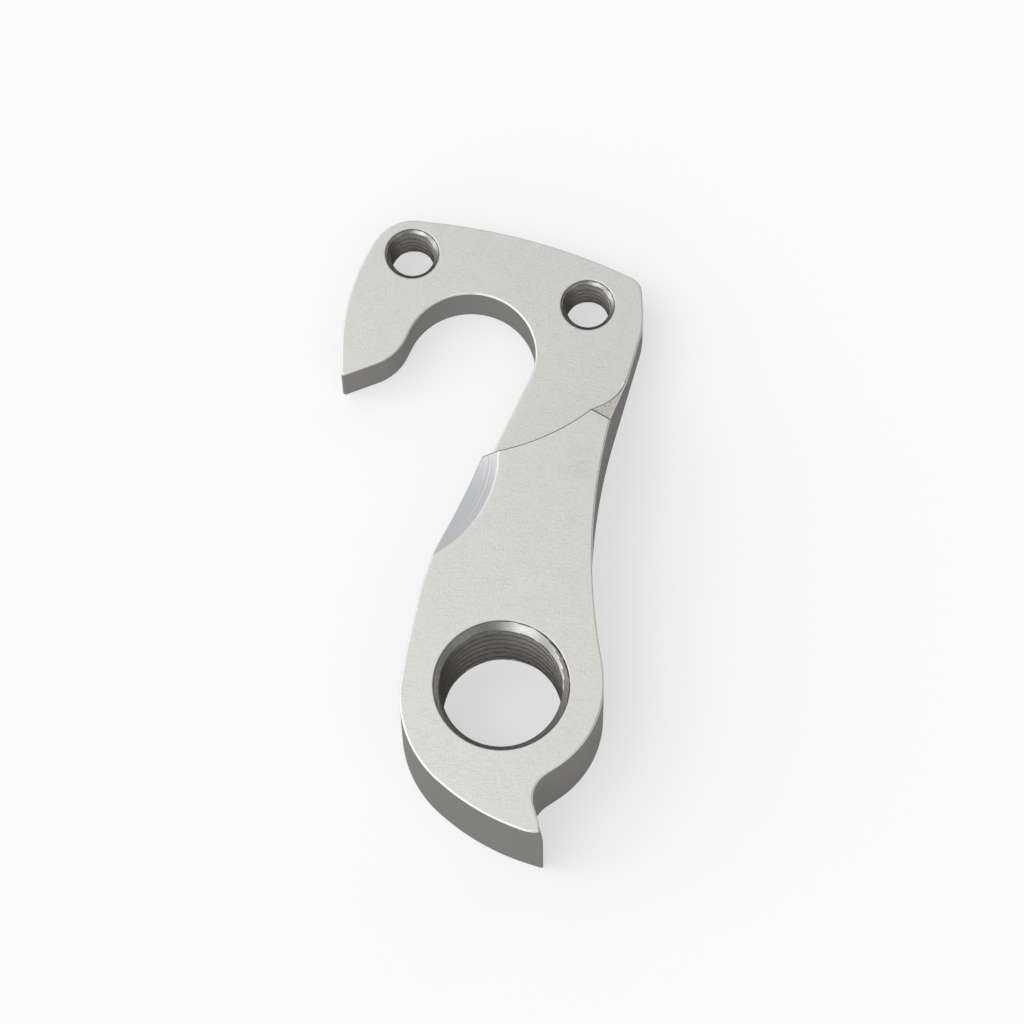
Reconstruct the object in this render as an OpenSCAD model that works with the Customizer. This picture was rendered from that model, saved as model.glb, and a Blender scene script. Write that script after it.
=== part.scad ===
// Rear derailleur hanger: the replaceable dropout of a bicycle frame, milled from one piece of
// aluminium. It lies on its flat back, which is the outboard face. The origin is in the middle of
// the derailleur thread. +Z points inboard, +Y up to the axle and +X to the rear.

/* [Thickness] */
// Thickness of the arm, which carries the derailleur
arm_thick = 8; // [6:0.1:10]
// Thickness of the plate, which is screwed to the frame
plate_thick = 4; // [3:0.1:5]

/* [Derailleur eye] */
// Nominal diameter of the derailleur thread
eye_thread_d = 10; // [9:0.1:11]
// Pitch of the derailleur thread
eye_pitch = 1; // [0.5:0.05:1.5]
// Metal around the thread, out to the rounded sides of the arm
eye_wall = 2.8; // [2.2:0.1:3.5]
// How much wider the mouth chamfers open than the nominal diameter, in the eye and in the screw holes
mouth_over = 0.15; // [0:0.05:0.4]

/* [Boss around the eye] */
// Depth of the boss's front lower corner below the eye
boss_front_down = 4.3; // [3.5:0.1:5]
// How far that corner stands out beyond the boss
boss_front_out = 0.5; // [0.1:0.1:1]
// Rounding of that corner
boss_front_down_r = 9; // [7:0.1:10]
// Height of the boss's front upper corner above the eye
boss_front_up = 3.3; // [2.8:0.1:4]
// How far that corner lies inside the boss
boss_front_in = 0.8; // [0.4:0.1:1.2]
// Rounding of that corner
boss_front_up_r = 27.3; // [20:0.1:30]
// Height of the boss's rear upper corner above the eye
boss_rear_up = 1.1; // [0.6:0.1:1.6]
// Rounding of that corner
boss_rear_up_r = 8; // [2:0.1:12]
// Depth of the boss's rear lower corner below the eye
boss_rear_down = 4; // [3.4:0.1:4.4]
// How far both rear corners lie inside the boss
boss_rear_in = 0.2; // [0:0.1:0.5]

/* [Axle seat] */
// Height of the wheel axle above the eye
drop = 28.4; // [26:0.1:32]
// Distance that the axle lies ahead of the eye
axle_lead = 2.5; // [0.5:0.1:4.5]
// Diameter of the round seat, and width of the open slot below it
axle_d = 10.1; // [9.5:0.05:10.5]
// Lean of the slot away from straight down
slot_lean = 24.8; // [20:0.1:29]

/* [Hook] */
// Straight run of the slot's short side, from the seat to the corner of the lip
lip_run = 2.5; // [2:0.1:3.2]
// Rounding of the lip
lip_r = 4.1; // [1:0.1:4.5]
// Width of the hook, from the seat to its front edge
hook_wall = 4.85; // [3.5:0.05:6.5]
// Distance of the hook's tip below the axle
tip_drop = 1.8; // [0.6:0.1:3]
// Height above the axle at which the hook's front edge turns in
hook_edge_up = 5.4; // [4.5:0.1:6.5]
// Rounding of the hook's front edge
hook_edge_r = 17.8; // [8:0.1:24]

/* [Frame screws] */
// Nominal diameter of the frame screws' thread
screw_thread_d = 4; // [3:0.1:5]
// Pitch of the frame screws' thread
screw_pitch = 0.7; // [0.4:0.05:0.8]
// Distance of the front screw ahead of the axle
front_screw_ahead = 4.5; // [3.5:0.1:5.5]
// Height of the front screw above the axle
front_screw_up = 8.5; // [8:0.1:10]
// Distance of the rear screw behind the axle
rear_screw_behind = 9.1; // [8.2:0.1:10.5]
// Height of the rear screw above the axle
rear_screw_up = 4.1; // [3:0.1:5.2]

/* [Plate edge] */
// Height of the top edge's crown above the rear screw
crown_up = 6; // [5:0.1:7]
// Distance of the top edge's crown ahead of the rear screw
crown_ahead = 3.7; // [2.5:0.1:5]
// Rounding of the top edge
crown_r = 45; // [30:1:55]
// Distance of the front top corner ahead of the front screw
front_corner_ahead = 1.7; // [1.3:0.1:2.2]
// Height of the front top corner above the front screw
front_corner_up = 3.1; // [2.9:0.1:3.6]
// Rounding of the front top corner
front_corner_r = 3.4; // [1:0.1:4.5]
// Distance of the rear top corner behind the rear screw
rear_corner_behind = 4.2; // [3.8:0.1:4.8]
// Height of the rear top corner above the rear screw
rear_corner_up = 1.9; // [1.4:0.1:2.4]
// Rounding of the rear top corner
rear_corner_r = 1.5; // [0.5:0.1:2.5]
// Distance of the rear edge's bend behind the rear screw
rear_bend_behind = 4.3; // [3.9:0.1:4.9]
// Depth of that bend below the rear screw
rear_bend_down = 1.8; // [1.2:0.1:2.4]
// Rounding of that bend
rear_bend_r = 7; // [4:0.1:9]

/* [Arm] */
// Distance of the hollow rear edge from the eye's centre line
waist = 5.8; // [5:0.1:6.6]
// Height of that hollow above the eye
waist_up = 12.8; // [11.5:0.1:14]
// Rounding of the hollow
waist_r = 46; // [30:0.5:50]
// Height of the knee, where the front edge turns into the slot's long side
knee_up = 9.4; // [8.5:0.1:10.5]
// Rounding of the knee
knee_r = 26.7; // [15:0.1:30]

/* [Claw] */
// Distance of the claw's tip below the eye
claw_drop = 11.8; // [11:0.1:13]
// Distance of the claw's tip behind the eye
claw_behind = 3.1; // [2.5:0.1:4]
// Distance of the bend in the claw's back ahead of the tip
claw_bend_ahead = 4.6; // [4:0.1:5.2]
// Height of that bend above the tip
claw_bend_up = 1.5; // [1.2:0.1:1.9]
// Rounding of that bend
claw_bend_r = 17.6; // [12:0.1:18]
// Distance of the notch behind the claw ahead of the tip
notch_ahead = 1.2; // [0.8:0.1:1.6]
// Height of the notch above the tip
notch_up = 3.9; // [3.5:0.1:4.3]
// Rounding of the notch
notch_r = 2.3; // [1:0.1:2.6]

/* [Shoulder] */
// Distance of the shoulder's centre ahead of the axle
shoulder_ahead = 1.4; // [1:0.1:1.8]
// Height of the shoulder's centre above the axle
shoulder_up = 7; // [6.5:0.1:7.5]
// Radius of the arm's raised shoulder, which the frame's edge meets
shoulder_r = 17; // [15:0.1:20]
// Tighter radius with which the shoulder turns up to the rear edge
shoulder_turn_r = 6.2; // [4:0.1:8]
// Direction in which the tighter turn starts, below the horizontal
shoulder_turn_at = 48; // [44:1:52]
// Slope of the ramp that runs out the arm's rear corner into the plate
ramp_slope = 40; // [35:1:50]
// Direction in which the ramp falls, measured up from +X
ramp_heading = 60; // [55:1:65]
// How far short of the axle the top of the ramp lies, along that direction
ramp_back = 0.8; // [0.5:0.1:1.1]

/* [Relief] */
// Radius of the dished relief in the arm's front edge
relief_r = 9.4; // [8.5:0.1:10]
// Slope of the relief's wall
relief_slope = 30; // [15:1:40]
// Distance of the relief's centre ahead of the axle
relief_ahead = 7.2; // [6.8:0.1:8]
// Distance of the relief's centre below the axle
relief_down = 9.8; // [9:0.1:11]

/* [Hidden] */
over = 1;              // how far a cut runs past the face that it opens
arc_step = 3;          // largest turn between two points of a rounded stretch, in degrees
round_fn = 96;         // sides that stand for a full circle on screen
far = 40;              // beyond every edge of the part

eye = [0, 0];
axle = [-axle_lead, drop];
front_screw = axle + [-front_screw_ahead, front_screw_up];
rear_screw = axle + [rear_screw_behind, rear_screw_up];

// The seat, and the points where the slot's straight sides leave it
seat_r = axle_d / 2;
slot_down = [-sin(slot_lean), -cos(slot_lean)];
slot_side = [cos(slot_lean), -sin(slot_lean)];
seat_rear = axle + seat_r * slot_side;
seat_front = axle - seat_r * slot_side;
lip = seat_front + lip_run * slot_down;
knee = seat_rear + (seat_rear.y - knee_up) / cos(slot_lean) * slot_down;

// Corners of the outline as [x, y, rounding], clockwise from the claw's tip. The arm's corners hang
// on the boss around the eye, and the plate's on the axle and the two screws.
boss_r = eye_thread_d / 2 + eye_wall;
arm_front_edge = [
    [claw_behind, -claw_drop, 0],
    [claw_behind - claw_bend_ahead, -claw_drop + claw_bend_up, claw_bend_r],
    [-boss_r - boss_front_out, -boss_front_down, boss_front_down_r],
    [-boss_r + boss_front_in, boss_front_up, boss_front_up_r],
    [knee.x, knee.y, knee_r]
];
hook_edge = [
    [seat_rear.x, seat_rear.y, 0],
    [seat_front.x, seat_front.y, 0],
    [lip.x, lip.y, lip_r],
    [axle.x - seat_r - hook_wall, axle.y - tip_drop, 0],
    [axle.x - seat_r - hook_wall, axle.y + hook_edge_up, hook_edge_r]
];
plate_edge = [
    [front_screw.x - front_corner_ahead, front_screw.y + front_corner_up, front_corner_r],
    [rear_screw.x - crown_ahead, rear_screw.y + crown_up, crown_r],
    [rear_screw.x + rear_corner_behind, rear_screw.y + rear_corner_up, rear_corner_r],
    [rear_screw.x + rear_bend_behind, rear_screw.y - rear_bend_down, rear_bend_r]
];
arm_rear_edge = [
    [waist, waist_up, waist_r],
    [boss_r - boss_rear_in, boss_rear_up, boss_rear_up_r],
    [boss_r - boss_rear_in, -boss_rear_down, boss_r],
    [claw_behind - notch_ahead, -claw_drop + notch_up, notch_r]
];
outline_corners = concat(arm_front_edge, hook_edge, plate_edge, arm_rear_edge);

// The shoulder is two arcs that touch where the tighter one starts. It starts beyond the slot's
// long side and ends past the foot of the ramp.
shoulder_from = -120;
shoulder_centre = axle + [-shoulder_ahead, shoulder_up];
turn_centre = shoulder_centre + (shoulder_r - shoulder_turn_r) * heading(-shoulder_turn_at);

function heading(angle) = [cos(angle), sin(angle)];
function unit(v) = v / norm(v);
function flat(corner) = [corner.x, corner.y];
function next_of(ring, i) = ring[(i + 1) % len(ring)];
function last_of(ring, i) = ring[(i + len(ring) - 1) % len(ring)];

// Points of an arc about a centre, from one direction to another
function arc(centre, r, from, to) =
    let (steps = max(1, ceil(abs(to - from) / arc_step)))
    [for (i = [0:steps]) centre + r * heading(from + (to - from) * i / steps)];

// Half of the angle between the two sides that meet at corner i
function half_angle(ring, i) =
    let (corner = flat(ring[i]))
    acos(unit(flat(last_of(ring, i)) - corner) * unit(flat(next_of(ring, i)) - corner)) / 2;

// Length of side that the full rounding of corner i takes up
function full_reach(ring, i) = ring[i][2] / tan(half_angle(ring, i));

// The same, shortened where two roundings would need more than the side between them
function reach(ring, i) =
    let (
        count = len(ring),
        wanted = full_reach(ring, i),
        before = norm(flat(ring[i]) - flat(last_of(ring, i))),
        after = norm(flat(ring[i]) - flat(next_of(ring, i))),
        share_before = before / (wanted + full_reach(ring, (i + count - 1) % count)),
        share_after = after / (wanted + full_reach(ring, (i + 1) % count))
    )
    wanted * min(1, share_before, share_after);

// Corner i as the points of its tangent arc, or as the corner itself where it is sharp
function rounded_corner(ring, i) =
    ring[i][2] == 0 ? [flat(ring[i])] :
    let (
        corner = flat(ring[i]),
        to_last = unit(flat(last_of(ring, i)) - corner),
        to_next = unit(flat(next_of(ring, i)) - corner),
        half = half_angle(ring, i),
        r = reach(ring, i) * tan(half),
        centre = corner + unit(to_last + to_next) * r / sin(half),
        start = corner + to_last * reach(ring, i) - centre,
        from = atan2(start.y, start.x),
        turn = (2 * half - 180) * sign(cross(to_last, to_next))
    )
    arc(centre, r, from, from + turn);

function rounded(ring) = [for (i = [0:len(ring) - 1]) each rounded_corner(ring, i)];

// Silhouette of the whole part, with the axle's seat cut as a true circle
module outline() {
    difference() {
        polygon(rounded(outline_corners));
        translate(axle) circle(seat_r, $fn = round_fn);
    }
}

// Everything on the frame's side of the shoulder
module plate_side() {
    polygon(concat(
        arc(shoulder_centre, shoulder_r, shoulder_from, -shoulder_turn_at),
        arc(turn_centre, shoulder_turn_r, -shoulder_turn_at, 0),
        [
            [far, turn_centre.y],
            [far, axle.y + far],
            [-far, axle.y + far],
            [-far, shoulder_centre.y + shoulder_r * sin(shoulder_from)]
        ]
    ));
}

// Metal milled off above the ramp, which runs down to the plate
module ramp_cut() {
    translate(axle) rotate(ramp_heading) translate([-ramp_back, 0, arm_thick])
        rotate([0, ramp_slope, 0]) translate([-over, -far, 0]) cube(2 * far);
}

// The arm's extra thickness, which stands on the plate
module raised_arm() {
    translate([0, 0, plate_thick]) linear_extrude(arm_thick - plate_thick)
        difference() {
            outline();
            plate_side();
        }
}

// Shallow cone that dishes the arm's front edge
module relief_cut() {
    depth = relief_r * tan(relief_slope) / 2;
    translate([axle.x - relief_ahead, axle.y - relief_down, arm_thick - depth])
        cylinder(
            h = depth + over,
            r1 = relief_r - depth / tan(relief_slope),
            r2 = relief_r + over / tan(relief_slope),
            $fn = round_fn
        );
}

// Hole for a thread, as wide as the thread's crests, with a 45 degree chamfer at both mouths
module tapped_hole(at, thread_d, pitch, length) {
    crest_r = (thread_d - pitch) / 2;
    mouth_r = (thread_d + mouth_over) / 2;
    chamfer = mouth_r - crest_r;
    translate(at) {
        translate([0, 0, -over]) cylinder(h = length + 2 * over, r = crest_r, $fn = round_fn);
        translate([0, 0, -over])
            cylinder(h = chamfer + over, r1 = mouth_r + over, r2 = crest_r, $fn = round_fn);
        translate([0, 0, length - chamfer])
            cylinder(h = chamfer + over, r1 = crest_r, r2 = mouth_r + over, $fn = round_fn);
    }
}

module hanger() {
    color([0.80, 0.80, 0.77]) translate([0, 0, -arm_thick / 2]) difference() {
        union() {
            linear_extrude(plate_thick) outline();
            difference() {
                raised_arm();
                ramp_cut();
            }
        }
        relief_cut();
        tapped_hole(eye, eye_thread_d, eye_pitch, arm_thick);
        tapped_hole(front_screw, screw_thread_d, screw_pitch, plate_thick);
        tapped_hole(rear_screw, screw_thread_d, screw_pitch, plate_thick);
    }
}

hanger();
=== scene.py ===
"""A replaceable rear dropout, milled from one piece of aluminium, lying on a white table.

Sizes are in millimetres in the part's own frame, and turn into metres where a mesh is made. The
origin is in the middle of the large thread: the plate's visible face is at 0, the arm's at ARM_TOP
and the flat back at BACK.
"""

import math
from collections import namedtuple

import bpy
import numpy as np
from mathutils import Matrix, Vector
from mathutils.geometry import delaunay_2d_cdt


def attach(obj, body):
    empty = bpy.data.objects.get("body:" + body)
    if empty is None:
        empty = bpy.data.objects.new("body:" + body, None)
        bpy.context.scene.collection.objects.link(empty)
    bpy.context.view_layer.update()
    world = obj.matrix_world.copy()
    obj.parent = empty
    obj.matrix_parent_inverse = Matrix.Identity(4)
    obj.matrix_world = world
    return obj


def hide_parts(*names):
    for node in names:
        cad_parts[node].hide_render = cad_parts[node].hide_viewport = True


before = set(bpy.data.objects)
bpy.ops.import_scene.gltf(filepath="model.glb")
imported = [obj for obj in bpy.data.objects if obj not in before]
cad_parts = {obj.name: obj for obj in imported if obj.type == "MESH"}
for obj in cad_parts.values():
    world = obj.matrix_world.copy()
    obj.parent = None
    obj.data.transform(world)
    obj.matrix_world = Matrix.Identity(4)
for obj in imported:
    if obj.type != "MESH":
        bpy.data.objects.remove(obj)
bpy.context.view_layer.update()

MM = 0.001

# Levels
BACK = -4.0
PLATE_TOP = 0.0
ARM_TOP = 4.0

# The eye, the axle's seat and the frame screws
EYE = np.array([0.0, 0.0])
AXLE = np.array([-2.5, 28.4])
SEAT_R = 5.05
SLOT_LEAN = 24.8
FRONT_SCREW = AXLE + [-4.5, 8.5]
REAR_SCREW = AXLE + [9.1, 4.1]
BOSS_R = 7.8

# Machined features of the visible side
SHOULDER_CENTRE = AXLE + [-1.4, 7.0]
SHOULDER_R = 17.0
TURN_R = 6.2
TURN_AT = -48.0
RAMP_SLOPE = 40.0
RAMP_HEADING = 60.0
RAMP_BACK = 0.8
RELIEF_CENTRE = AXLE + [-7.2, -9.8]
RELIEF_R = 9.4
RELIEF_SLOPE = 30.0

# Broken edges
EDGE_R = 0.11
SHOULDER_EDGE_R = 0.10
FILLET_R = 0.10
MOUTH_EDGE_R = 0.08
MOUTH_OVER = 0.15  # how much wider a mouth's chamfer is than its thread
MOUTH_STEP = 0.07  # height of the short upright wall above the chamfer
WALL_W = 0.006  # width in plan of the shoulder's wall, which stands almost upright
FLAT_STRIP = 0.05  # flat strip that is meshed beside each rounded edge


def heading(degrees):
    a = math.radians(degrees)
    return np.array([math.cos(a), math.sin(a)])


def unit(v):
    return v / np.linalg.norm(v)


# Outline
SLOT_SIDE = heading(-SLOT_LEAN)
SLOT_DOWN = np.array([SLOT_SIDE[1], -SLOT_SIDE[0]])
SEAT_REAR = AXLE + SEAT_R * SLOT_SIDE
SEAT_FRONT = AXLE - SEAT_R * SLOT_SIDE
LIP_LENGTH = 2.5
LIP = SEAT_FRONT + LIP_LENGTH * SLOT_DOWN
KNEE_UP = 9.4
KNEE = SEAT_REAR + (SEAT_REAR[1] - KNEE_UP) / -SLOT_DOWN[1] * SLOT_DOWN
HOOK_WIDTH = 4.85
HOOK_X = AXLE[0] - SEAT_R - HOOK_WIDTH

# Corners as (x, y, rounding), clockwise from the claw's tip to the seat's rear side, and from the
# seat's front side back to the claw
CORNERS = [
    (3.1, -11.8, 0.12),
    (-1.5, -10.3, 17.6),
    (-BOSS_R - 0.5, -4.3, 9.0),
    (-BOSS_R + 0.8, 3.3, 27.3),
    (KNEE[0], KNEE[1], 26.7),
    (SEAT_REAR[0], SEAT_REAR[1], 0.0),
    (SEAT_FRONT[0], SEAT_FRONT[1], 0.0),
    (LIP[0], LIP[1], 4.1),
    (HOOK_X, AXLE[1] - 1.8, 0.2),
    (HOOK_X, AXLE[1] + 5.4, 17.8),
    (FRONT_SCREW[0] - 1.7, FRONT_SCREW[1] + 3.1, 3.4),
    (REAR_SCREW[0] - 3.7, REAR_SCREW[1] + 6.0, 45.0),
    (REAR_SCREW[0] + 4.2, REAR_SCREW[1] + 1.9, 1.5),
    (REAR_SCREW[0] + 4.3, REAR_SCREW[1] - 1.8, 7.0),
    (5.8, 12.8, 46.0),
    (BOSS_R - 0.2, 1.1, 8.0),
    (BOSS_R - 0.2, -4.0, BOSS_R),
    (1.9, -7.9, 2.3),
]
SEAT_CORNER = 5  # the corner where the seat's half circle starts

# Longest steps along an arc, in millimetres and in degrees, and along a straight side
ARC_STEP = 0.22
ARC_TURN = 4.0
SIDE_STEP = 0.6
SAME_POINT = 1e-4
TINY = 1e-9
AT_ONCE = 2000  # how many points are set against the outline at a time


def corner_parts(i):
    """Corner i, its two side directions, half of its angle and its side lengths."""
    count = len(CORNERS)
    corner = np.array(CORNERS[i][:2])
    to_last = np.array(CORNERS[i - 1][:2]) - corner
    to_next = np.array(CORNERS[(i + 1) % count][:2]) - corner
    half = math.acos(np.clip(unit(to_last) @ unit(to_next), -1, 1)) / 2
    return corner, to_last, to_next, half


def full_reach(i):
    return CORNERS[i][2] / math.tan(corner_parts(i)[3])


def reach(i):
    """Length of side that corner i's rounding takes, shared where two would overlap."""
    count = len(CORNERS)
    _, to_last, to_next, _ = corner_parts(i)
    wanted = full_reach(i)
    before = np.linalg.norm(to_last) / max(wanted + full_reach((i - 1) % count), TINY)
    after = np.linalg.norm(to_next) / max(wanted + full_reach((i + 1) % count), TINY)
    return wanted * min(1.0, before, after)


def arc(centre, r, start, turn):
    """Points of an arc from one direction through a turn, in degrees."""
    length = math.radians(abs(turn)) * r
    steps = max(2, math.ceil(max(abs(turn) / ARC_TURN, length / ARC_STEP)))
    return [centre + r * heading(start + turn * k / steps) for k in range(steps + 1)]


def outline_points():
    """The outline with its corners rounded, clockwise, as an even row of points."""
    points = []
    for i, (_, _, r) in enumerate(CORNERS):
        corner, to_last, to_next, half = corner_parts(i)
        if i == SEAT_CORNER:
            points += arc(AXLE, SEAT_R, -SLOT_LEAN, 180.0)
        elif i == SEAT_CORNER + 1:
            continue
        else:
            used = reach(i)
            r = used * math.tan(half)
            a, b = unit(to_last), unit(to_next)
            centre = corner + unit(a + b) * r / math.sin(half)
            start = corner + a * used - centre
            side = math.copysign(1.0, a[0] * b[1] - a[1] * b[0])
            first = math.degrees(math.atan2(start[1], start[0]))
            points += arc(centre, r, first, (math.degrees(2 * half) - 180) * side)
    ring = [points[0]]
    for p in points[1:]:
        if np.linalg.norm(p - ring[-1]) > SAME_POINT:
            ring.append(p)
    if np.linalg.norm(ring[0] - ring[-1]) < SAME_POINT:
        ring.pop()
    filled = []
    for a, b in zip(ring, ring[1:] + ring[:1]):
        steps = max(1, math.ceil(np.linalg.norm(b - a) / SIDE_STEP))
        filled += [a + (b - a) * k / steps for k in range(steps)]
    return np.array(filled)


OUTLINE = outline_points()
COUNT = len(OUTLINE)


def inward_vectors(ring):
    """For each point, the step that moves it to the ring's parallel, one millimetre inside."""
    along = np.roll(ring, -1, 0) - ring
    along /= np.linalg.norm(along, axis=1)[:, None]
    normal = np.stack([along[:, 1], -along[:, 0]], 1)
    last = np.roll(normal, 1, 0)
    return (normal + last) / (1 + (normal * last).sum(1))[:, None]


INWARD = inward_vectors(OUTLINE)


def edge_distance(points):
    """Distance of each point from the outline."""
    a = OUTLINE
    ab = np.roll(OUTLINE, -1, 0) - a
    length2 = (ab**2).sum(1)
    out = np.empty(len(points))
    for lo in range(0, len(points), AT_ONCE):
        p = points[lo : lo + AT_ONCE, None, :]
        t = np.clip(((p - a) * ab).sum(2) / length2, 0, 1)
        gap = p - a - t[:, :, None] * ab
        out[lo : lo + AT_ONCE] = np.sqrt((gap**2).sum(2).min(1))
    return out


def inside_outline(points):
    """Which points lie inside the outline, by counting crossings."""
    a, b = OUTLINE, np.roll(OUTLINE, -1, 0)
    rise = b[:, 1] - a[:, 1]
    rise = np.where(np.abs(rise) < TINY, TINY, rise)
    out = np.zeros(len(points), bool)
    for lo in range(0, len(points), AT_ONCE):
        px, py = points[lo : lo + AT_ONCE].T[:, :, None]
        crosses = (a[:, 1] > py) != (b[:, 1] > py)
        x = a[:, 0] + (py - a[:, 1]) / rise * (b[:, 0] - a[:, 0])
        out[lo : lo + AT_ONCE] = (crosses & (px < x)).sum(1) % 2 == 1
    return out


# Heights of the visible side
TURN_CENTRE = SHOULDER_CENTRE + (SHOULDER_R - TURN_R) * heading(TURN_AT)
RAMP_DIR = heading(RAMP_HEADING)
RAMP_CREST = AXLE @ RAMP_DIR - RAMP_BACK
RAMP_TAN = math.tan(math.radians(RAMP_SLOPE))
RAMP_FOOT = RAMP_CREST + (ARM_TOP - PLATE_TOP) / RAMP_TAN
RELIEF_TAN = math.tan(math.radians(RELIEF_SLOPE))
RELIEF_BLEND = 0.08
RAMP_BLEND = 0.05
ON_LINE = 1e-7

# Ridges between the passes of the relief's cutter as (distance in from the rim, height, width),
# with the stretch along y over which they fade in
PASS_RIDGES = [(0.60, 0.035, 0.055), (0.95, 0.012, 0.06), (0.34, 0.010, 0.05)]
RIDGES_FROM, RIDGES_FULL = 11.0, 15.0


def past_shoulder(p):
    """Distance beyond the shoulder, positive on the plate's side."""
    wide = SHOULDER_R - np.linalg.norm(p - SHOULDER_CENTRE, axis=1)
    tight = TURN_R - np.linalg.norm(p - TURN_CENTRE, axis=1)
    ray = heading(TURN_AT)
    off = p - TURN_CENTRE
    turned = ray[0] * off[:, 1] - ray[1] * off[:, 0] > 0
    above = turned & (off[:, 1] > 0)
    return np.where(above, TURN_R, np.where(turned, tight, wide))


def soft_min(a, b, blend):
    """The lower of two levels, rounded over where they are less than the blend apart."""
    near = np.clip(blend - np.abs(a - b), 0, None) / blend
    return np.minimum(a, b) - near * near * blend / 4


def drop(distance, r):
    """How far a rounded edge of radius r lies below its face, that far in from the wall."""
    left = np.clip(r - distance, 0, r)
    return r - np.sqrt(np.clip(r * r - left * left, 0, None))


def relief_depth(p):
    """How far the relief's cone lies below the arm's face, negative outside its rim."""
    return (RELIEF_R - np.linalg.norm(p - RELIEF_CENTRE, axis=1)) * RELIEF_TAN


def pass_ridge(p):
    """Fine ridges left between two passes of the relief's cutter, fading towards the lower end."""
    inside = RELIEF_R - np.linalg.norm(p - RELIEF_CENTRE, axis=1)
    fade = np.clip((p[:, 1] - RIDGES_FROM) / (RIDGES_FULL - RIDGES_FROM), 0, 1)
    return fade * sum(
        high * np.exp(-(((inside - at) / wide) ** 2)) for at, high, wide in PASS_RIDGES
    )


def ramp_depth(p):
    """How far the ramp lies below the arm's face, negative before its crest."""
    return (p @ RAMP_DIR - RAMP_CREST) * RAMP_TAN


def top_height(p):
    """Level of the visible side before its outer edges are rounded."""
    w = past_shoulder(p)
    flat = np.full(len(p), ARM_TOP)
    arm = soft_min(flat, ARM_TOP - relief_depth(p), RELIEF_BLEND) + pass_ridge(p)
    arm = soft_min(arm, ARM_TOP - ramp_depth(p), RAMP_BLEND)
    arm = np.maximum(arm - drop(-w, SHOULDER_EDGE_R), PLATE_TOP)
    plate = PLATE_TOP + drop(np.clip(w - WALL_W, 0, None), FILLET_R)
    plate = np.minimum(plate, np.maximum(arm, PLATE_TOP))
    return np.where(w < ON_LINE, arm, plate)


# Meshes
class Shell:
    """Vertices and faces of the piece, gathered part by part and welded at the end."""

    def __init__(self):
        self.points, self.faces, self.slots = [], [], []
        self.count = 0

    def add(self, points, faces, slot):
        self.points.append(np.asarray(points, float).reshape(-1, 3))
        self.faces += [tuple(int(i) + self.count for i in f) for f in faces]
        self.slots += [slot] * len(faces) if isinstance(slot, int) else list(slot)
        self.count += len(self.points[-1])


FACE, WALL, RELIEF, RAMP, BORE, CHAMFER, DARK_EDGE = range(7)
ROUNDING = [math.radians(a) for a in (0, 18, 36, 54, 72, 90)]


def round_steps(r):
    """(distance in from the wall, drop below the face) down a rounded edge."""
    return [(r * (1 - math.cos(a)), r * (1 - math.sin(a))) for a in ROUNDING]


Hole = namedtuple("Hole", "centre thread_d pitch top count")  # count is the points round it
HOLES = [
    Hole(EYE, 10.0, 1.0, ARM_TOP, 144),
    Hole(FRONT_SCREW, 4.0, 0.7, PLATE_TOP, 84),
    Hole(REAR_SCREW, 4.0, 0.7, PLATE_TOP, 84),
]


def mouth_radius(hole):
    return (hole.thread_d + MOUTH_OVER) / 2


def circle(centre, r, count):
    return [centre + r * heading(360.0 * k / count) for k in range(count)]


# A hole's polygon cuts in a little from its circle between its points
ACROSS_CORNERS = math.cos(math.pi / 90)


class Plan:
    """Points and lines that the flat triangulation has to follow."""

    def __init__(self):
        self.points, self.lines = [], []

    def chain(self, points, closed=False):
        base = len(self.points)
        self.points += [tuple(map(float, p)) for p in points]
        n = len(points)
        self.lines += [(base + i, base + i + 1) for i in range(n - 1)]
        if closed:
            self.lines.append((base + n - 1, base))

    def triangles(self):
        out = delaunay_2d_cdt([Vector(p) for p in self.points], self.lines, [], 0, 1e-6, False)
        points = np.array([tuple(v) for v in out[0]])
        faces = np.array([tuple(f) for f in out[2]])
        middle = points[faces].mean(1)
        keep = inside_outline(middle)
        for hole in HOLES:
            inside = mouth_radius(hole) * ACROSS_CORNERS
            keep &= np.linalg.norm(middle - hole.centre, axis=1) > inside
        return points, faces[keep]


def clip_chain(plan, points):
    """Adds the stretches of a line that lie inside the outline, with a little to spare."""
    if len(points) < 2:
        return
    points = np.array(points)
    near = inside_outline(points) | (edge_distance(points) < OVERRUN)
    run = []
    for p, ok in zip(points, near):
        if ok:
            run.append(p)
        else:
            if len(run) > 1:
                plan.chain(run)
            run = []
    if len(run) > 1:
        plan.chain(run)


def loops_of(faces):
    """Border loops of a set of triangles, each as vertex numbers in the faces' own order."""
    edges = {}
    for f in faces:
        for a, b in ((f[0], f[1]), (f[1], f[2]), (f[2], f[0])):
            edges[(a, b)] = True
    follow = {a: b for a, b in edges if (b, a) not in edges}
    loops = []
    while follow:
        start, nxt = follow.popitem()
        loop = [start, nxt]
        while loop[-1] in follow:
            loop.append(follow.pop(loop[-1]))
        if loop[0] == loop[-1]:
            loop.pop()
        loops.append(loop)
    return loops


def counterclockwise(points, faces):
    a, b, c = points[faces[:, 0]], points[faces[:, 1]], points[faces[:, 2]]
    area = (b[:, 0] - a[:, 0]) * (c[:, 1] - a[:, 1]) - (b[:, 1] - a[:, 1]) * (c[:, 0] - a[:, 0])
    faces = faces.copy()
    flip = area < 0
    faces[flip] = faces[flip][:, ::-1]
    return faces


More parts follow.
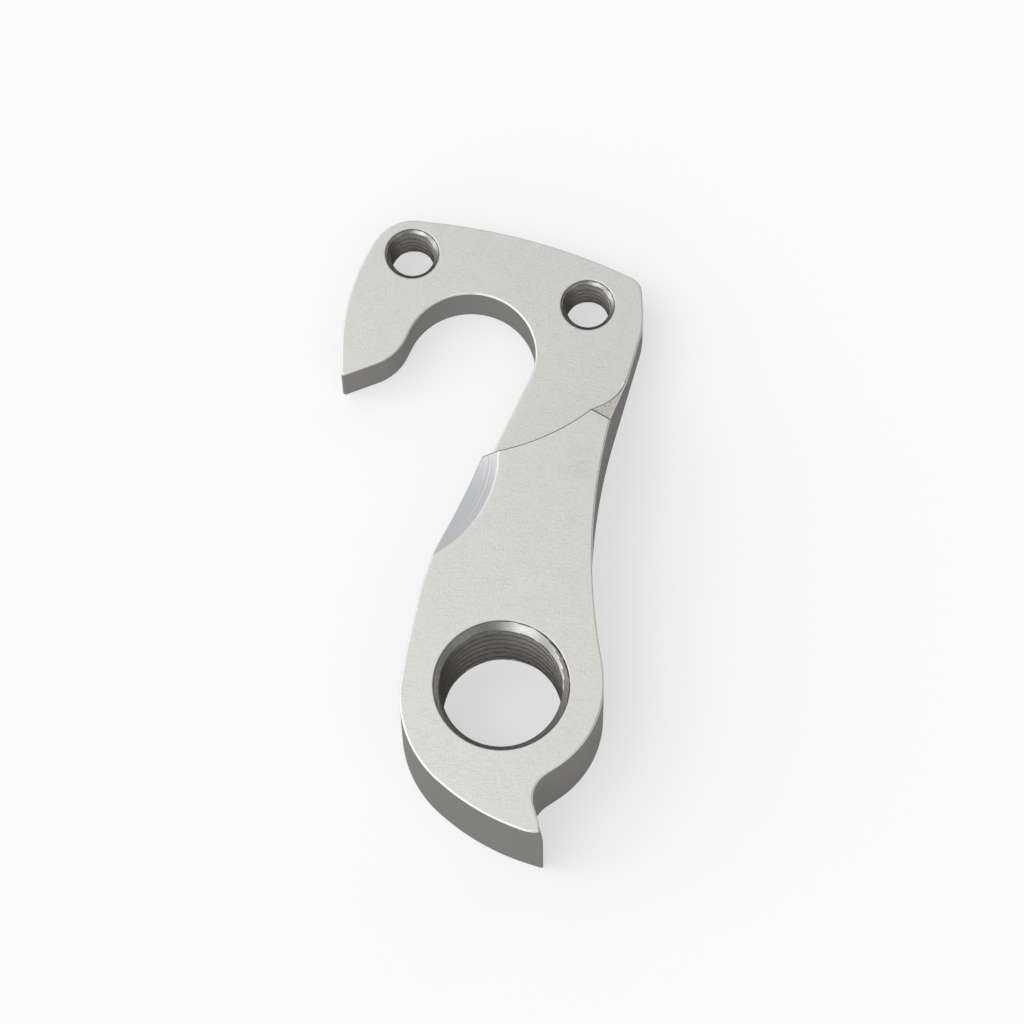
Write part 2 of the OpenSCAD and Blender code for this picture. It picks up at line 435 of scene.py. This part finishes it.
# Where the lines of the machined features are meshed
OVERRUN = 0.6  # how far lines run on past the outline
SHOULDER_FROM = -112.0  # the shoulder's first direction from its centre
TURN_SWEEP = 60.0  # degrees of the tight turn
SHOULDER_PAST_RAMP = 0.4
CREST_LINES = (-0.08, -0.04, 0.0, 0.04, 0.08)
RAMP_LINES_FROM, RAMP_STEP = 0.12, 0.06
RAMP_ACROSS = np.arange(-7.0, 6.0, 0.25)
RIM_LINES = (-0.16, -0.11, -0.07, -0.035, 0.0, 0.035, 0.07, 0.11, 0.16)
RELIEF_LINES_FROM, RELIEF_LINES_TO, RELIEF_STEP = 0.22, 2.6, 0.035
RELIEF_FROM, RELIEF_SWEEP = -70, 90
GRID_STEP = 0.8


def on_arm(line, past):
    """The points of a line that lie on the arm, or at most that far past the shoulder."""
    return [p for p in line if past_shoulder(p[None])[0] < past]


def add_mouths(plan):
    """The rounded edges of the hole mouths, with a line just outside each."""
    for hole in HOLES:
        r = mouth_radius(hole)
        for d, _ in round_steps(MOUTH_EDGE_R):
            plan.chain(circle(hole.centre, r + d, hole.count), closed=True)
        outside = circle(hole.centre, r + MOUTH_EDGE_R + FLAT_STRIP, hole.count)
        plan.chain(outside, closed=True)


def open_flats():
    """Evenly spaced points on the flat faces, away from every edge and feature."""
    grid = np.array([
        (x, y) for x in np.arange(-12, 11, GRID_STEP) for y in np.arange(-11.5, 40, GRID_STEP)
    ])
    grid = grid[inside_outline(grid) & (edge_distance(grid) > 0.5)]
    grid = grid[np.abs(past_shoulder(grid)) > 0.4]
    for hole in HOLES:
        from_centre = np.linalg.norm(grid - hole.centre, axis=1)
        grid = grid[from_centre > hole.thread_d / 2 + 0.5]
    return grid[(relief_depth(grid) < -0.2) & (ramp_depth(grid) < -0.3)]


def top_plan():
    """The visible side in plan, with a line wherever its height bends."""
    plan = Plan()
    plan.chain(OUTLINE, closed=True)
    for d, _ in round_steps(EDGE_R)[1:]:
        plan.chain(OUTLINE + INWARD * d, closed=True)
    plan.chain(OUTLINE + INWARD * (EDGE_R + FLAT_STRIP), closed=True)

    # The shoulder's wall, its rounded top edge and the fillet at its foot
    offsets = [-d for d, _ in round_steps(SHOULDER_EDGE_R)]
    offsets += [-(SHOULDER_EDGE_R + FLAT_STRIP), WALL_W / 2]
    offsets += [WALL_W + d for d, _ in round_steps(FILLET_R)] + [FILLET_R + FLAT_STRIP]
    for w in offsets:
        line = arc(SHOULDER_CENTRE, SHOULDER_R - w, SHOULDER_FROM, TURN_AT - SHOULDER_FROM)
        line = line[:-1] + arc(TURN_CENTRE, TURN_R - w, TURN_AT, TURN_SWEEP)
        clip_chain(plan, [p for p in line if p @ RAMP_DIR < RAMP_FOOT + SHOULDER_PAST_RAMP])

    # The ramp
    across = np.array([RAMP_DIR[1], -RAMP_DIR[0]])
    steps = [RAMP_CREST + s for s in CREST_LINES]
    steps += list(np.arange(RAMP_CREST + RAMP_LINES_FROM, RAMP_FOOT, RAMP_STEP)) + [RAMP_FOOT]
    for s in steps:
        line = [RAMP_DIR * s + across * t for t in RAMP_ACROSS]
        clip_chain(plan, on_arm(line, 0.05))

    # The relief, out to its rim
    rings = [RELIEF_R + s for s in RIM_LINES]
    rings += list(
        np.arange(RELIEF_R - RELIEF_LINES_FROM, RELIEF_R - RELIEF_LINES_TO, -RELIEF_STEP)
    )
    for r in rings:
        clip_chain(plan, on_arm(arc(RELIEF_CENTRE, r, RELIEF_FROM, RELIEF_SWEEP), 0.02))

    add_mouths(plan)
    plan.points += [tuple(map(float, p)) for p in open_flats()]
    return plan


def mouth_drop(p):
    """How far the rounded edges of the hole mouths lower the face."""
    out = np.zeros(len(p))
    for hole in HOLES:
        gap = np.linalg.norm(p - hole.centre, axis=1) - mouth_radius(hole)
        out += np.where(gap < MOUTH_EDGE_R, drop(np.clip(gap, 0, None), MOUTH_EDGE_R), 0)
    return out


SEAM = 0.02  # plan distance from the shoulder's line within which a face is its wall


def build_top(shell):
    """The visible side, raised to its heights, with a material for each machined surface."""
    points, faces = top_plan().triangles()
    faces = counterclockwise(points, faces)
    height = top_height(points) - drop(edge_distance(points), EDGE_R) - mouth_drop(points)
    middle = points[faces].mean(1)
    w = past_shoulder(middle)
    corners = height[faces]
    level, span = corners.mean(1), np.ptp(corners, axis=1)
    relief, ramp = relief_depth(middle), ramp_depth(middle)
    on_top = w < -SEAM
    at_edge = (w < 0) & (w > -SHOULDER_EDGE_R) & (level > PLATE_TOP + 0.3)
    at_crest = on_top & (np.abs(ramp) < 0.05) & (relief < 0)
    slots = np.full(len(faces), FACE)
    slots[on_top & (relief > 0)] = RELIEF
    slots[on_top & (ramp > 0.03) & (level > PLATE_TOP + 0.02)] = RAMP
    slots[(np.abs(w) < SEAM) & (span > 0.4)] = WALL
    # Painted shade: the shoulder's rounded top edge and the ramp's crest take the dark material as
    # a thin shaded line.
    slots[at_edge | at_crest] = DARK_EDGE
    slots[mouth_drop(middle) > 0] = CHAMFER
    shell.add(np.column_stack([points, height]), faces, [int(s) for s in slots])
    return points, faces, height


def nearest_inward(p):
    """The inward step at a point on the outline."""
    a = OUTLINE
    ab = np.roll(OUTLINE, -1, 0) - a
    t = np.clip(((p - a) * ab).sum(1) / (ab**2).sum(1), 0, 1)
    gap = np.linalg.norm(p - a - t[:, None] * ab, axis=1)
    i = int(gap.argmin())
    return INWARD[i] * (1 - t[i]) + INWARD[(i + 1) % COUNT] * t[i]


# The wall's rows of points, as shares of its height above the lowest row, and how far above the
# back that one lies
LOW_ROW = 0.45
WALL_SHARES = (0.95, 0.90, 0.84, 0.78, 0.70, 0.50, 0.0)


def build_walls(shell, points, faces, height):
    """The outline's wall, from the rounded top edge to the rounded bottom edge."""
    loop = max(loops_of(faces), key=lambda ring: np.ptp(points[ring], axis=0).sum())
    plan_points = points[loop]
    inward = np.array([nearest_inward(p) for p in plan_points])
    rings = [np.column_stack([plan_points, height[loop]])]
    low = BACK + LOW_ROW
    for share in WALL_SHARES:
        rings.append(np.column_stack([plan_points, low + (height[loop] - low) * share]))
    for d, fall in round_steps(EDGE_R):
        level = np.full(len(loop), BACK + fall)
        rings.append(np.column_stack([plan_points + inward * d, level]))
    n = len(loop)
    quads = []
    for k in range(len(rings) - 1):
        for i in range(n):
            j = (i + 1) % n
            quads.append((k * n + i, (k + 1) * n + i, (k + 1) * n + j, k * n + j))
    shell.add(np.vstack(rings), quads, WALL)
    return rings[-1][:, :2]


def build_back(shell, ring):
    """The flat back within the wall's lowest ring."""
    plan = Plan()
    plan.chain(ring, closed=True)
    add_mouths(plan)
    points, faces = plan.triangles()
    faces = counterclockwise(points, faces)[:, ::-1]
    shell.add(np.column_stack([points, BACK + mouth_drop(points)]), faces, FACE)


# Shares of a pitch where the thread's crest ends, its root starts, its root ends and its crest
# starts again
THREAD_BENDS = [0, 0.22, 0.56, 0.69, 1.0]
ROOT_OVER = 0.02  # how far a root lies outside the thread's nominal radius
PER_PITCH = 20  # rows of points in a pitch


def build_bore(shell, hole):
    """The threaded wall of a hole with a chamfer at each mouth. Its rows follow the helix."""
    centre, thread_d, pitch, top, count = hole
    crest, root = (thread_d - pitch) / 2, thread_d / 2 + ROOT_OVER
    high, low = top - MOUTH_EDGE_R, BACK + MOUTH_EDGE_R
    rows = int((top - BACK) / pitch * PER_PITCH) + PER_PITCH + 4
    k = np.arange(rows)[:, None]
    i = np.arange(count)[None, :]
    z = np.clip(low + pitch * ((k - PER_PITCH) / PER_PITCH + i / count), low, high)
    thread = np.interp(k / PER_PITCH % 1, THREAD_BENDS, [crest, crest, root, root, crest])
    below_top = np.clip(high - MOUTH_STEP - z, 0, None)
    above_back = np.clip(z - low - MOUTH_STEP, 0, None)
    cone = mouth_radius(hole) - np.minimum(below_top, above_back)
    on_cone = cone >= thread
    r = np.maximum(thread, cone)
    angle = 2 * math.pi * i / count
    points = np.stack([centre[0] + r * np.cos(angle), centre[1] + r * np.sin(angle), z], 2)
    quads, slots = [], []
    for a in range(rows - 1):
        for b in range(count):
            if b < count - 1:
                quad = ((a, b), (a + 1, b), (a + 1, b + 1), (a, b + 1))
            elif a + PER_PITCH + 1 < rows:
                quad = ((a, b), (a + 1, b), (a + 1 + PER_PITCH, 0), (a + PER_PITCH, 0))
            else:
                continue
            quads.append(tuple(x * count + y for x, y in quad))
            slots.append(CHAMFER if on_cone[a, b] else BORE)
    shell.add(points.reshape(-1, 3), quads, slots)


def weld(shell, tolerance=2e-4):
    """Merges the points that meet and drops the faces that had no area."""
    points = np.vstack(shell.points)
    key = np.round(points / tolerance).astype(np.int64)
    _, first, back = np.unique(key, axis=0, return_index=True, return_inverse=True)
    back = back.reshape(-1)
    faces, slots = [], []
    for f, s in zip(shell.faces, shell.slots):
        ring = []
        for v in (int(back[i]) for i in f):
            if not ring or ring[-1] != v:
                ring.append(v)
        if len(ring) > 1 and ring[0] == ring[-1]:
            ring.pop()
        if len(ring) > 2 and len(set(ring)) == len(ring):
            faces.append(ring)
            slots.append(s)
    return points[first], faces, slots


shell = Shell()
top_points, top_faces, top_z = build_top(shell)
back_ring = build_walls(shell, top_points, top_faces, top_z)
build_back(shell, back_ring)
for hole in HOLES:
    build_bore(shell, hole)
all_points, all_faces, all_slots = weld(shell)

# The claw's tip is worn off at its upper corner
TIP = np.array(CORNERS[0][:2])
WORN_SHIFT = np.array([-0.30, 0.36])
WORN_DEPTH, WORN_R, WORN_CURVE = 1.7, 0.7, 1.5
from_tip = np.linalg.norm(all_points[:, :2] - TIP, axis=1)
worn = np.clip((all_points[:, 2] - (ARM_TOP - WORN_DEPTH)) / WORN_DEPTH, 0, 1) ** WORN_CURVE
worn *= np.exp(-((from_tip / WORN_R) ** 2))
all_points[:, :2] += worn[:, None] * WORN_SHIFT

SHARP_ANGLE = 32.0

mesh = bpy.data.meshes.new("hanger_body")
mesh.from_pydata([tuple(p) for p in all_points * MM], [], all_faces)
mesh.update()
body = bpy.data.objects.new("hanger_body", mesh)
bpy.context.scene.collection.objects.link(body)
mesh.polygons.foreach_set("material_index", all_slots)
mesh.shade_smooth()
mesh.set_sharp_from_angle(angle=math.radians(SHARP_ANGLE))


# Materials
def math_node(tree, operation, *values):
    """The output of a Math node that is fed sockets or plain numbers."""
    node = tree.nodes.new("ShaderNodeMath")
    node.operation = operation
    for socket, value in zip(node.inputs, values):
        if isinstance(value, (int, float)):
            socket.default_value = value
        else:
            tree.links.new(value, socket)
    return node.outputs[0]


class Metal:
    """A metal whose colour, roughness and relief follow fine noise fixed to the part."""

    def __init__(self, name, colour, roughness, edge_tint=1.0):
        self.material = bpy.data.materials.new(name)
        self.material.use_nodes = True
        self.tree = self.material.node_tree
        self.shader = self.tree.nodes["Principled BSDF"]
        self.shader.inputs["Metallic"].default_value = 1.0
        self.shader.inputs["Specular Tint"].default_value = (edge_tint, edge_tint, edge_tint, 1)
        self.colour = self.flat(colour)
        self.shader.inputs["Roughness"].default_value = roughness
        self.place = self.tree.nodes.new("ShaderNodeTexCoord").outputs["Object"]

    def flat(self, colour):
        node = self.tree.nodes.new("ShaderNodeRGB")
        node.outputs[0].default_value = (*colour, 1)
        return node.outputs[0]

    def noise(self, size_mm, detail=2.0, rough=0.5, stretch=(1, 1, 1), turn=0.0):
        """Noise between 0 and 1 whose grains are about size_mm wide, stretched along an axis."""
        fit = self.tree.nodes.new("ShaderNodeMapping")
        fit.inputs["Rotation"].default_value = (0, 0, math.radians(turn))
        k = 1 / (size_mm * MM)
        fit.inputs["Scale"].default_value = tuple(k / s for s in stretch)
        self.tree.links.new(self.place, fit.inputs["Vector"])
        grain = self.tree.nodes.new("ShaderNodeTexNoise")
        grain.inputs["Scale"].default_value = 1.0
        grain.inputs["Detail"].default_value = detail
        grain.inputs["Roughness"].default_value = rough
        self.tree.links.new(fit.outputs[0], grain.inputs["Vector"])
        return grain.outputs["Fac"]

    def span(self, value, low, high, to_low, to_high):
        """Takes the values from low to high to those from to_low to to_high."""
        node = self.tree.nodes.new("ShaderNodeMapRange")
        ends = {"From Min": low, "From Max": high, "To Min": to_low, "To Max": to_high}
        for key, end in ends.items():
            node.inputs[key].default_value = end
        self.tree.links.new(value, node.inputs["Value"])
        return node.outputs[0]

    def blend(self, amount, colour):
        """Mixes a colour in by an amount from 0 to 1."""
        node = self.tree.nodes.new("ShaderNodeMix")
        node.data_type = "RGBA"
        self.tree.links.new(amount, node.inputs["Factor"])
        self.tree.links.new(self.colour, node.inputs["A"])
        node.inputs["B"].default_value = (*colour, 1)
        self.colour = node.outputs["Result"]

    def sum(self, a, b):
        return math_node(self.tree, "ADD", a, b)

    def times(self, value, k):
        return math_node(self.tree, "MULTIPLY", value, k)

    def bump(self, height, depth_mm):
        node = self.tree.nodes.new("ShaderNodeBump")
        node.inputs["Strength"].default_value = 1.0
        node.inputs["Distance"].default_value = depth_mm * MM
        self.tree.links.new(height, node.inputs["Height"])
        self.tree.links.new(node.outputs[0], self.shader.inputs["Normal"])

    def roughness(self, value):
        self.tree.links.new(value, self.shader.inputs["Roughness"])

    def done(self):
        self.tree.links.new(self.colour, self.shader.inputs["Base Color"])
        return self.material


def satin_face():
    m = Metal("satin_face", (0.85, 0.85, 0.81), 0.40)
    fine = m.noise(0.16, 3.0, 0.6)
    cloud = m.noise(1.1, 2.0)
    streaks = m.noise(0.14, 2.0, 0.5, (3, 1, 1))
    m.blend(m.span(fine, 0.48, 0.66, 0.0, 0.55), (0.70, 0.70, 0.65))
    m.blend(m.span(streaks, 0.50, 0.68, 0.0, 0.5), (0.72, 0.72, 0.685))
    m.blend(m.span(cloud, 0.50, 0.75, 0.0, 0.5), (0.76, 0.765, 0.75))
    m.roughness(m.span(m.sum(fine, cloud), 0.7, 1.3, 0.36, 0.46))
    m.bump(m.sum(fine, m.times(streaks, 0.6)), 0.008)
    return m.done()


def wall_with_painted_shade():
    # Painted shade: the dark grey colour and the low edge tint darken the walls as if they stood
    # in shade. The fine grain and lengthwise streaks are the metal's own.
    m = Metal("wall_with_painted_shade", (0.32, 0.315, 0.305), 0.60, 0.4)
    fine = m.noise(0.14, 3.0, 0.6)
    lengthwise = m.noise(0.09, 2.0, 0.6, (14, 14, 1))
    m.blend(m.span(fine, 0.48, 0.75, 0.0, 0.5), (0.26, 0.255, 0.245))
    m.blend(m.span(lengthwise, 0.50, 0.75, 0.0, 0.35), (0.38, 0.38, 0.375))
    m.roughness(m.span(fine, 0.3, 0.7, 0.55, 0.66))
    m.bump(m.sum(m.times(fine, 0.6), lengthwise), 0.006)
    return m.done()


def relief_metal():
    m = Metal("relief", (0.60, 0.605, 0.615), 0.38)
    fine = m.noise(0.14, 3.0, 0.6)
    m.blend(m.span(fine, 0.48, 0.75, 0.0, 0.5), (0.50, 0.505, 0.515))
    m.roughness(m.span(fine, 0.3, 0.7, 0.34, 0.44))
    m.bump(fine, 0.006)
    return m.done()


def ramp_metal():
    m = Metal("ramp", (0.76, 0.75, 0.70), 0.45)
    fine = m.noise(0.10, 3.0, 0.7)
    down = m.noise(0.10, 2.0, 0.6, (1, 5, 1), 20.0)
    m.blend(m.span(m.sum(fine, down), 0.95, 1.2, 0.0, 0.85), (0.42, 0.40, 0.35))
    m.roughness(m.span(fine, 0.3, 0.7, 0.40, 0.52))
    m.bump(m.sum(fine, down), 0.03)
    return m.done()


def bore_metal():
    # Painted shade: the near-black brown colour and the low edge tint darken the threaded bores as
    # if they lay deep in shade. The ring-shaped grain is the metal's own.
    m = Metal("bore", (0.21, 0.20, 0.18), 0.42, 0.4)
    fine = m.noise(0.12, 3.0, 0.6)
    round_and_round = m.noise(0.07, 2.0, 0.6, (9, 9, 1))
    m.blend(m.span(fine, 0.50, 0.78, 0.0, 0.7), (0.09, 0.08, 0.07))
    m.blend(m.span(round_and_round, 0.54, 0.76, 0.0, 0.8), (0.30, 0.29, 0.28))
    m.roughness(m.span(fine, 0.3, 0.7, 0.38, 0.52))
    m.bump(m.sum(fine, round_and_round), 0.01)
    return m.done()


def chamfer_metal():
    m = Metal("chamfer", (0.55, 0.55, 0.54), 0.30)
    turned = m.noise(0.05, 2.0, 0.6, (9, 9, 1))
    m.blend(m.span(turned, 0.48, 0.72, 0.0, 0.5), (0.40, 0.40, 0.39))
    m.roughness(m.span(turned, 0.3, 0.7, 0.26, 0.36))
    m.bump(turned, 0.005)
    return m.done()


def dark_edge():
    # Painted shade: a dark thin line on the shoulder's rounded top edge and on the ramp's crest,
    # where shade falls.
    m = Metal("dark_edge", (0.24, 0.23, 0.20), 0.5, 0.5)
    fine = m.noise(0.10, 3.0, 0.6)
    m.blend(m.span(fine, 0.48, 0.70, 0.0, 0.7), (0.44, 0.43, 0.39))
    return m.done()


SURFACES = {
    FACE: satin_face,
    WALL: wall_with_painted_shade,
    RELIEF: relief_metal,
    RAMP: ramp_metal,
    BORE: bore_metal,
    CHAMFER: chamfer_metal,
    DARK_EDGE: dark_edge,
}
for slot in sorted(SURFACES):
    mesh.materials.append(SURFACES[slot]())

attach(body, "root")
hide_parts("hanger")


# Floor, light and camera
FLOOR_GLOW = 0.55  # the share of the table's white that doesn't depend on the light
FLOOR_TONE = 0.8  # how much of the light the table throws back on the part
TABLE_HALF = 3.0
BACKDROP_HIGH = 0.36
BACKDROP_SIDES = 64


def white_where_seen(name, glow, tone, other):
    """White with the shadows in it to the camera and in the metal, and plain to other rays.

    Without a tone for those, they pass through.
    """
    m = bpy.data.materials.new(name)
    m.use_nodes = True
    tree = m.node_tree
    tree.nodes.clear()
    rays = tree.nodes.new("ShaderNodeLightPath")
    seen = math_node(
        tree, "MAXIMUM", rays.outputs["Is Camera Ray"], rays.outputs["Is Glossy Ray"]
    )
    seen = math_node(tree, "MAXIMUM", seen, rays.outputs["Is Transmission Ray"])
    shaded = tree.nodes.new("ShaderNodeBsdfDiffuse")
    shaded.inputs["Color"].default_value = (tone, tone, tone, 1)
    light = tree.nodes.new("ShaderNodeEmission")
    light.inputs["Strength"].default_value = glow
    both = tree.nodes.new("ShaderNodeAddShader")
    tree.links.new(shaded.outputs[0], both.inputs[0])
    tree.links.new(light.outputs[0], both.inputs[1])
    if other is None:
        plain = tree.nodes.new("ShaderNodeBsdfTransparent")
    else:
        plain = tree.nodes.new("ShaderNodeBsdfDiffuse")
        plain.inputs["Color"].default_value = (other, other, other, 1)
    pick = tree.nodes.new("ShaderNodeMixShader")
    tree.links.new(seen, pick.inputs["Fac"])
    tree.links.new(plain.outputs[0], pick.inputs[1])
    tree.links.new(both.outputs[0], pick.inputs[2])
    out = tree.nodes.new("ShaderNodeOutputMaterial")
    tree.links.new(pick.outputs[0], out.inputs["Surface"])
    return m


def add_stage(name, points, faces, material):
    """A part of the studio, which isn't part of the product."""
    shape = bpy.data.meshes.new(name)
    shape.from_pydata(points, [], faces)
    shape.materials.append(material)
    stage = bpy.data.objects.new(name, shape)
    bpy.context.scene.collection.objects.link(stage)


table_level = BACK * MM
add_stage(
    "table",
    [
        (x * TABLE_HALF, y * TABLE_HALF, table_level)
        for x, y in ((-1, -1), (1, -1), (1, 1), (-1, 1))
    ],
    [(0, 1, 2, 3)],
    white_where_seen("table", FLOOR_GLOW, 1 - FLOOR_GLOW, FLOOR_TONE),
)

# A low white backdrop round the table
ring = [2 * math.pi * k / BACKDROP_SIDES for k in range(BACKDROP_SIDES)]
add_stage(
    "backdrop",
    [
        (TABLE_HALF * math.cos(a), TABLE_HALF * math.sin(a), z)
        for z in (table_level, BACKDROP_HIGH) for a in ring
    ],
    [
        (k, after, BACKDROP_SIDES + after, BACKDROP_SIDES + k)
        for k, after in enumerate([*range(1, BACKDROP_SIDES), 0])
    ],
    white_where_seen("backdrop", 1.0, 0.0, None),
)

# Soft lights as (azimuth from +X, elevation, brightness)
SOFT_LIGHTS = [
    (180, 65, 2.6), (300, 65, 1.11), (90, 68, 0.18),
    (40, 40, 0.32), (120, 40, 0.30), (160, 40, 0.48), (280, 40, 0.11), (320, 40, 0.76),
    (60, 20, 0.65), (90, 20, 0.32), (120, 20, 0.76), (180, 20, 2.28), (240, 20, 2.21),
]
LIGHT_NARROWNESS = 14.0


def soft_lights(tree):
    """A dark studio with soft lights around the table, brightest on the left."""
    facing = tree.nodes.new("ShaderNodeTexCoord").outputs["Generated"]
    total = 0.0
    for azimuth, elevation, brightness in SOFT_LIGHTS:
        e = math.radians(elevation)
        near = tree.nodes.new("ShaderNodeVectorMath")
        near.operation = "DOT_PRODUCT"
        near.inputs[1].default_value = (*(heading(azimuth) * math.cos(e)), math.sin(e))
        tree.links.new(facing, near.inputs[0])
        peak = math.log(brightness) - LIGHT_NARROWNESS
        fall = math_node(tree, "MULTIPLY_ADD", near.outputs["Value"], LIGHT_NARROWNESS, peak)
        total = math_node(tree, "ADD", total, math_node(tree, "EXPONENT", fall))
    tree.links.new(total, tree.nodes["Background"].inputs["Strength"])


world = bpy.data.worlds.new("studio")
world.use_nodes = True
world.node_tree.nodes["Background"].inputs["Color"].default_value = (1, 1, 1, 1)
soft_lights(world.node_tree)
bpy.context.scene.world = world

# The photo's camera, fitted to the rims of the three holes: its place in the part's frame, the
# direction to its right and the direction that it looks away from
CAMERA_AT = Vector((3.82, -123.04, 354.15))
CAMERA_RIGHT = Vector((0.99996, 0.0, -0.00873))
CAMERA_BACK = Vector((0.0081, -0.3639, 0.9314))
CAMERA_SENSOR, CAMERA_LENS = 36.0, 175.78

camera_data = bpy.data.cameras.new("camera")
camera_data.sensor_width = CAMERA_SENSOR
camera_data.lens = CAMERA_LENS
camera_data.clip_start, camera_data.clip_end = 0.01, 20.0
camera = bpy.data.objects.new("camera", camera_data)
bpy.context.scene.collection.objects.link(camera)
back = CAMERA_BACK.normalized()
up = back.cross(CAMERA_RIGHT).normalized()
turn = Matrix((up.cross(back).normalized(), up, back)).transposed()
camera.matrix_world = Matrix.Translation(CAMERA_AT * MM) @ turn.to_4x4()
bpy.context.scene.camera = camera
bpy.context.scene.view_settings.view_transform = "Standard"
